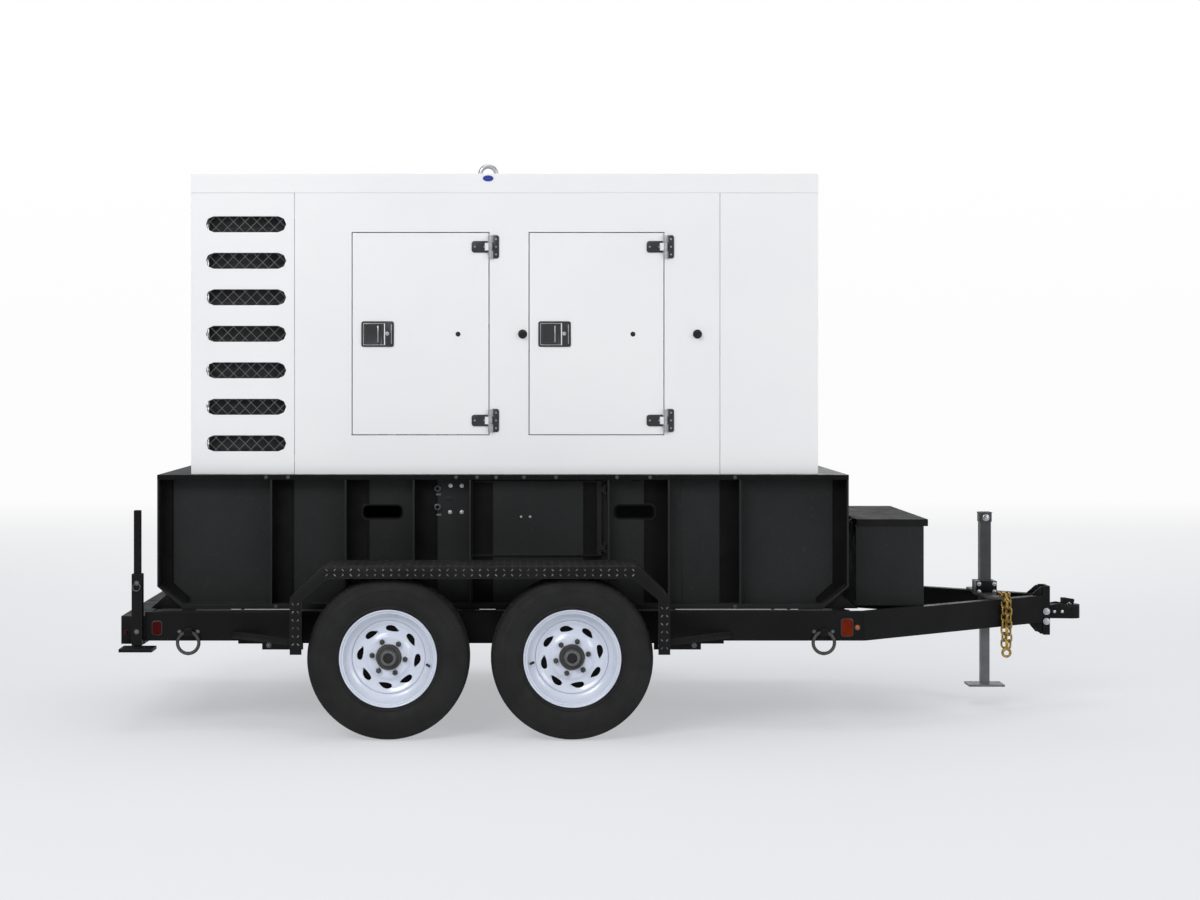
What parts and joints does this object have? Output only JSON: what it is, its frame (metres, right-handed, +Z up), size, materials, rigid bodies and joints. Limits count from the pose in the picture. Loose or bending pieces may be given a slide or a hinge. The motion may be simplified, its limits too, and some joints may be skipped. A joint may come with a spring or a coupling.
{
  "type": "towable diesel generator",
  "caption": "Sound-enclosed diesel generator on a ribbed skid base, carried by a tandem-axle trailer with jack, coupler, toolbox and service doors.",
  "frame": {"origin": "centre of the bounding box's bottom, on the ground under the machine", "axes": "+X forward to the tow coupler, +Y to the trailer's left-hand side, +Z up"},
  "size_m": [4.386, 2.04, 2.5446],
  "materials": {
    "black_paint": "satin",
    "white_paint": "satin",
    "tread_plate": "satin",
    "rim_white": "gloss",
    "tyre_rubber": "matte",
    "zinc": "satin",
    "yellow_zinc": "satin",
    "grey_paint": "satin",
    "dark_grey": "satin",
    "engine_iron": "matte",
    "radiator_alloy": "satin",
    "fan_black": "matte",
    "latch_black": "satin"
  },
  "bodies": {
    "root": {"side_rail_right": "black_paint", "side_rail_left": "black_paint", "rear_bumper": "black_paint", "front_crossmember": "black_paint", "centre_crossmember": "black_paint", "tongue_rail_right": "black_paint", "tongue_rail_left": "black_paint", "coupler_bracket": "black_paint", "coupler": "zinc", "jack_housing": "black_paint", "safety_chain": "yellow_zinc", "suspension_right": "black_paint", "suspension_left": "black_paint", "axle_rear": "black_paint", "axle_front": "black_paint", "fender_right": "tread_plate", "stabilizer_sleeve_right": "black_paint", "fender_left": "tread_plate", "stabilizer_sleeve_left": "black_paint", "fuel_tank": "black_paint", "skid_base": "black_paint", "enclosure_rear": "white_paint", "enclosure_right": "white_paint", "enclosure_left": "white_paint", "enclosure_front": "white_paint", "roof": "white_paint", "lifting_eye": "grey_paint", "toolbox": "black_paint", "engine": "engine_iron", "alternator": "dark_grey", "muffler": "dark_grey", "control_panel": "dark_grey", "radiator": "radiator_alloy"},
    "road_wheel_rear_right": {"tyre_rear_right": "tyre_rubber", "wheel_rear_right": "rim_white"},
    "road_wheel_rear_left": {"tyre_rear_left": "tyre_rubber", "wheel_rear_left": "rim_white"},
    "road_wheel_front_right": {"tyre_front_right": "tyre_rubber", "wheel_front_right": "rim_white"},
    "road_wheel_front_left": {"tyre_front_left": "tyre_rubber", "wheel_front_left": "rim_white"},
    "service_door_rear_right": {"door_rear_right": "white_paint"},
    "door_paddle_rear_right": {"latch_door_rear_right": "latch_black"},
    "service_door_rear_left": {"door_rear_left": "white_paint"},
    "door_paddle_rear_left": {"latch_door_rear_left": "latch_black"},
    "service_door_front_right": {"door_front_right": "white_paint"},
    "door_paddle_front_right": {"latch_door_front_right": "latch_black"},
    "service_door_front_left": {"door_front_left": "white_paint"},
    "door_paddle_front_left": {"latch_door_front_left": "latch_black"},
    "base_access_door": {"access_door": "black_paint"},
    "tool_lid": {"toolbox_lid": "black_paint"},
    "tongue_jack_leg": {"jack_leg": "grey_paint"},
    "rear_stabilizer_right": {"stabilizer_leg_right": "grey_paint"},
    "rear_stabilizer_left": {"stabilizer_leg_left": "grey_paint"},
    "ring_rear_right": {"tie_down_rear_right": "zinc"},
    "ring_rear_left": {"tie_down_rear_left": "zinc"},
    "ring_front_right": {"tie_down_front_right": "zinc"},
    "ring_front_left": {"tie_down_front_left": "zinc"},
    "coupler_lever": {"coupler_latch": "zinc"},
    "engine_fan": {"cooling_fan": "fan_black"}
  },
  "joints": [
    {"name": "wheel_spin_rear_right", "type": "hinge", "parent": "root", "child": "road_wheel_rear_right", "pos_m": [-1.009, -0.8875, 0.347], "axis": [0, 1, 0], "continuous": true},
    {"name": "wheel_spin_rear_left", "type": "hinge", "parent": "root", "child": "road_wheel_rear_left", "pos_m": [-1.009, 0.8875, 0.347], "axis": [0, 1, 0], "continuous": true},
    {"name": "wheel_spin_front_right", "type": "hinge", "parent": "root", "child": "road_wheel_front_right", "pos_m": [-0.228, -0.8875, 0.347], "axis": [0, 1, 0], "continuous": true},
    {"name": "wheel_spin_front_left", "type": "hinge", "parent": "root", "child": "road_wheel_front_left", "pos_m": [-0.228, 0.8875, 0.347], "axis": [0, 1, 0], "continuous": true},
    {"name": "door_swing_rear_right", "type": "hinge", "parent": "root", "child": "service_door_rear_right", "pos_m": [-0.581, -0.562, 1.2806], "axis": [0, 0, 1], "range_deg": [0, 175]},
    {"name": "paddle_pull_rear_right", "type": "hinge", "parent": "service_door_rear_right", "child": "door_paddle_rear_right", "pos_m": [-1.0596, -0.552, 1.6746], "axis": [0, 0, 1], "range_deg": [0, 35], "stiffness_Nm_per_rad": 0.6},
    {"name": "door_swing_rear_left", "type": "hinge", "parent": "root", "child": "service_door_rear_left", "pos_m": [-0.581, 0.562, 1.2806], "axis": [0, 0, -1], "range_deg": [0, 175]},
    {"name": "paddle_pull_rear_left", "type": "hinge", "parent": "service_door_rear_left", "child": "door_paddle_rear_left", "pos_m": [-1.0596, 0.552, 1.6746], "axis": [0, 0, -1], "range_deg": [0, 35], "stiffness_Nm_per_rad": 0.6},
    {"name": "door_swing_front_right", "type": "hinge", "parent": "root", "child": "service_door_front_right", "pos_m": [0.197, -0.562, 1.2806], "axis": [0, 0, 1], "range_deg": [0, 175]},
    {"name": "paddle_pull_front_right", "type": "hinge", "parent": "service_door_front_right", "child": "door_paddle_front_right", "pos_m": [-0.2726, -0.552, 1.6746], "axis": [0, 0, 1], "range_deg": [0, 35], "stiffness_Nm_per_rad": 0.6},
    {"name": "door_swing_front_left", "type": "hinge", "parent": "root", "child": "service_door_front_left", "pos_m": [0.197, 0.562, 1.2806], "axis": [0, 0, -1], "range_deg": [0, 175]},
    {"name": "paddle_pull_front_left", "type": "hinge", "parent": "service_door_front_left", "child": "door_paddle_front_left", "pos_m": [-0.2726, 0.552, 1.6746], "axis": [0, 0, -1], "range_deg": [0, 35], "stiffness_Nm_per_rad": 0.6},
    {"name": "access_door_swing", "type": "hinge", "parent": "root", "child": "base_access_door", "pos_m": [-0.072, -0.547, 0.7453], "axis": [0, 0, 1], "range_deg": [0, 92]},
    {"name": "toolbox_lid_lift", "type": "hinge", "parent": "root", "child": "tool_lid", "pos_m": [1.055, 0, 0.8773], "axis": [0, -1, 0], "range_deg": [0, 80]},
    {"name": "jack_leg_slide", "type": "slide", "parent": "root", "child": "tongue_jack_leg", "axis": [0, 0, -1], "range_m": [-0.25, 0.082]},
    {"name": "stabilizer_slide_right", "type": "slide", "parent": "root", "child": "rear_stabilizer_right", "axis": [0, 0, -1], "range_m": [0, 0.345]},
    {"name": "stabilizer_slide_left", "type": "slide", "parent": "root", "child": "rear_stabilizer_left", "axis": [0, 0, -1], "range_m": [0, 0.345]},
    {"name": "ring_swing_rear_right", "type": "hinge", "parent": "root", "child": "ring_rear_right", "pos_m": [-1.898, -0.7123, 0.427], "axis": [-1, 0, 0], "range_deg": [0, 85]},
    {"name": "ring_swing_rear_left", "type": "hinge", "parent": "root", "child": "ring_rear_left", "pos_m": [-1.898, 0.7123, 0.427], "axis": [1, 0, 0], "range_deg": [0, 85]},
    {"name": "ring_swing_front_right", "type": "hinge", "parent": "root", "child": "ring_front_right", "pos_m": [0.877, -0.7123, 0.427], "axis": [-1, 0, 0], "range_deg": [0, 85]},
    {"name": "ring_swing_front_left", "type": "hinge", "parent": "root", "child": "ring_front_left", "pos_m": [0.877, 0.7123, 0.427], "axis": [1, 0, 0], "range_deg": [0, 85]},
    {"name": "coupler_latch_lift", "type": "hinge", "parent": "root", "child": "coupler_lever", "pos_m": [2.121, 0, 0.485], "axis": [0, -1, 0], "range_deg": [0, 70]},
    {"name": "fan_spin", "type": "hinge", "parent": "root", "child": "engine_fan", "pos_m": [0.208, 0, 1.4376], "axis": [1, 0, 0], "continuous": true}
  ]
}
